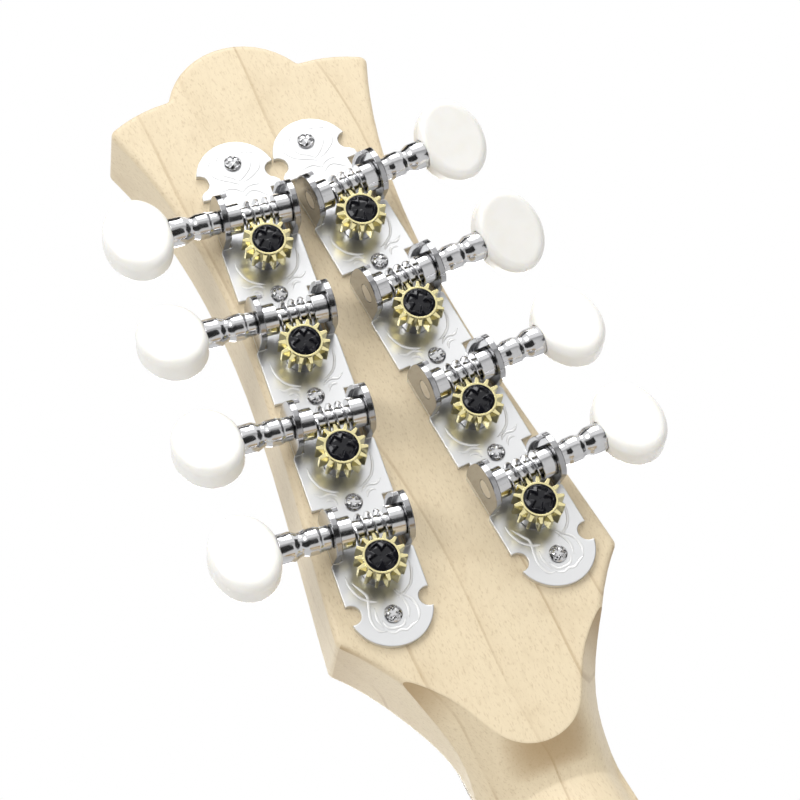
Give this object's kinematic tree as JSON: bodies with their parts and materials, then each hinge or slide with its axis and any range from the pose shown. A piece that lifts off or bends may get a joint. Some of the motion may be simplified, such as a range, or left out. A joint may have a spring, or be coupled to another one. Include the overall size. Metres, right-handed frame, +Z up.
{
  "type": "a-style mandolin",
  "caption": "Teardrop mandolin with arched top and back, oval soundhole, raised fretboard, movable bridge and worm-gear tuners on a crowned headstock.",
  "frame": {"origin": "on the centre plane where the fretboard meets the nut, on the plane between fretboard and neck; a hanger's fork carries the mandolin here, under the shoulders of its headstock", "axes": "+Z up along the neck to the headstock, -Y out of the face (strings), +Y out of the back, +X to the treble side"},
  "size_m": [0.2604, 0.0925, 0.6982],
  "materials": {
    "maple": "pale natural maple, satin clear finish",
    "spruce": "straight-grained spruce, satin clear finish",
    "dark_wood": "oiled rosewood",
    "bone": "polished bone",
    "nickel": "bright nickel plate",
    "brass": "bright turned and cut brass",
    "black_steel": "glossy black oxide",
    "cream": "polished cream white plastic",
    "fret_wire": "dressed and polished nickel silver",
    "string_steel": "plain and wound steel",
    "ebony": "polished ebony"
  },
  "bodies": {
    "root": {"neck": "maple", "ribs": "maple", "back_plate": "maple", "soundboard": "spruce", "tone_bars": "spruce", "blocks_and_linings": "spruce", "fretboard": "dark_wood", "bridge_foot": "dark_wood", "nut": "bone", "tuner_plate_bass": "nickel", "tuner_plate_treble": "nickel", "plate_screws": "nickel", "post_bushings": "nickel", "tailpiece": "nickel", "frets": "fret_wire", "strings": "string_steel", "end_pin": "ebony"},
    "key_bass_1": {"worm_shaft_bass_1": "nickel", "button_bass_1": "cream"},
    "post_bass_1": {"string_post_bass_1": "nickel", "gear_bass_1": "brass", "gear_screw_bass_1": "black_steel"},
    "key_bass_2": {"worm_shaft_bass_2": "nickel", "button_bass_2": "cream"},
    "post_bass_2": {"string_post_bass_2": "nickel", "gear_bass_2": "brass", "gear_screw_bass_2": "black_steel"},
    "key_bass_3": {"worm_shaft_bass_3": "nickel", "button_bass_3": "cream"},
    "post_bass_3": {"string_post_bass_3": "nickel", "gear_bass_3": "brass", "gear_screw_bass_3": "black_steel"},
    "key_bass_4": {"worm_shaft_bass_4": "nickel", "button_bass_4": "cream"},
    "post_bass_4": {"string_post_bass_4": "nickel", "gear_bass_4": "brass", "gear_screw_bass_4": "black_steel"},
    "key_treble_1": {"worm_shaft_treble_1": "nickel", "button_treble_1": "cream"},
    "post_treble_1": {"string_post_treble_1": "nickel", "gear_treble_1": "brass", "gear_screw_treble_1": "black_steel"},
    "key_treble_2": {"worm_shaft_treble_2": "nickel", "button_treble_2": "cream"},
    "post_treble_2": {"string_post_treble_2": "nickel", "gear_treble_2": "brass", "gear_screw_treble_2": "black_steel"},
    "key_treble_3": {"worm_shaft_treble_3": "nickel", "button_treble_3": "cream"},
    "post_treble_3": {"string_post_treble_3": "nickel", "gear_treble_3": "brass", "gear_screw_treble_3": "black_steel"},
    "key_treble_4": {"worm_shaft_treble_4": "nickel", "button_treble_4": "cream"},
    "post_treble_4": {"string_post_treble_4": "nickel", "gear_treble_4": "brass", "gear_screw_treble_4": "black_steel"},
    "saddle": {"bridge_saddle": "dark_wood"},
    "wheel_bass": {"bridge_wheel_bass": "brass"},
    "wheel_treble": {"bridge_wheel_treble": "brass"}
  },
  "joints": [
    {"name": "key_spin_bass_1", "type": "hinge", "parent": "root", "child": "key_bass_1", "pos_m": [-0.00919, 0.05176, 0.11857], "axis": [-0.996, 0.0217, 0.0871], "continuous": true},
    {"name": "post_spin_bass_1", "type": "hinge", "parent": "root", "child": "post_bass_1", "pos_m": [-0.0098, 0.04407, 0.11356], "axis": [0, 0.9703, -0.2419], "continuous": true},
    {"name": "key_spin_bass_2", "type": "hinge", "parent": "root", "child": "key_bass_2", "pos_m": [-0.01126, 0.04622, 0.09635], "axis": [-0.996, 0.0217, 0.0871], "continuous": true},
    {"name": "post_spin_bass_2", "type": "hinge", "parent": "root", "child": "post_bass_2", "pos_m": [-0.01186, 0.03853, 0.09134], "axis": [0, 0.9703, -0.2419], "continuous": true},
    {"name": "key_spin_bass_3", "type": "hinge", "parent": "root", "child": "key_bass_3", "pos_m": [-0.01332, 0.04068, 0.07412], "axis": [-0.996, 0.0217, 0.0871], "continuous": true},
    {"name": "post_spin_bass_3", "type": "hinge", "parent": "root", "child": "post_bass_3", "pos_m": [-0.01393, 0.03299, 0.06911], "axis": [0, 0.9703, -0.2419], "continuous": true},
    {"name": "key_spin_bass_4", "type": "hinge", "parent": "root", "child": "key_bass_4", "pos_m": [-0.01539, 0.03514, 0.05189], "axis": [-0.996, 0.0217, 0.0871], "continuous": true},
    {"name": "post_spin_bass_4", "type": "hinge", "parent": "root", "child": "post_bass_4", "pos_m": [-0.01599, 0.02745, 0.04688], "axis": [0, 0.9703, -0.2419], "continuous": true},
    {"name": "key_spin_treble_1", "type": "hinge", "parent": "root", "child": "key_treble_1", "pos_m": [0.00919, 0.05176, 0.11857], "axis": [0.996, 0.0217, 0.0871], "continuous": true},
    {"name": "post_spin_treble_1", "type": "hinge", "parent": "root", "child": "post_treble_1", "pos_m": [0.0098, 0.04407, 0.11356], "axis": [0, 0.9703, -0.2419], "continuous": true},
    {"name": "key_spin_treble_2", "type": "hinge", "parent": "root", "child": "key_treble_2", "pos_m": [0.01126, 0.04622, 0.09635], "axis": [0.996, 0.0217, 0.0871], "continuous": true},
    {"name": "post_spin_treble_2", "type": "hinge", "parent": "root", "child": "post_treble_2", "pos_m": [0.01186, 0.03853, 0.09134], "axis": [0, 0.9703, -0.2419], "continuous": true},
    {"name": "key_spin_treble_3", "type": "hinge", "parent": "root", "child": "key_treble_3", "pos_m": [0.01332, 0.04068, 0.07412], "axis": [0.996, 0.0217, 0.0871], "continuous": true},
    {"name": "post_spin_treble_3", "type": "hinge", "parent": "root", "child": "post_treble_3", "pos_m": [0.01393, 0.03299, 0.06911], "axis": [0, 0.9703, -0.2419], "continuous": true},
    {"name": "key_spin_treble_4", "type": "hinge", "parent": "root", "child": "key_treble_4", "pos_m": [0.01539, 0.03514, 0.05189], "axis": [0.996, 0.0217, 0.0871], "continuous": true},
    {"name": "post_spin_treble_4", "type": "hinge", "parent": "root", "child": "post_treble_4", "pos_m": [0.01599, 0.02745, 0.04688], "axis": [0, 0.9703, -0.2419], "continuous": true},
    {"name": "saddle_slide", "type": "slide", "parent": "root", "child": "saddle", "axis": [0, 0.9954, 0.0958], "range_m": [0, 0.0015]},
    {"name": "wheel_spin_bass", "type": "hinge", "parent": "saddle", "child": "wheel_bass", "pos_m": [-0.034, -0.00222, -0.35134], "axis": [0, 0.9954, 0.0958], "range_deg": [0, 675]},
    {"name": "wheel_spin_treble", "type": "hinge", "parent": "saddle", "child": "wheel_treble", "pos_m": [0.034, -0.00222, -0.35134], "axis": [0, 0.9954, 0.0958], "range_deg": [0, 675]}
  ],
  "couplings": [
    {"joint": "post_spin_bass_1", "follows": "key_spin_bass_1", "ratio": 0.071429},
    {"joint": "post_spin_bass_2", "follows": "key_spin_bass_2", "ratio": 0.071429},
    {"joint": "post_spin_bass_3", "follows": "key_spin_bass_3", "ratio": 0.071429},
    {"joint": "post_spin_bass_4", "follows": "key_spin_bass_4", "ratio": 0.071429},
    {"joint": "post_spin_treble_1", "follows": "key_spin_treble_1", "ratio": -0.071429},
    {"joint": "post_spin_treble_2", "follows": "key_spin_treble_2", "ratio": -0.071429},
    {"joint": "post_spin_treble_3", "follows": "key_spin_treble_3", "ratio": -0.071429},
    {"joint": "post_spin_treble_4", "follows": "key_spin_treble_4", "ratio": -0.071429},
    {"joint": "wheel_spin_bass", "follows": "saddle_slide", "rad_per_m": 7854},
    {"joint": "wheel_spin_treble", "follows": "saddle_slide", "rad_per_m": 7854}
  ]
}
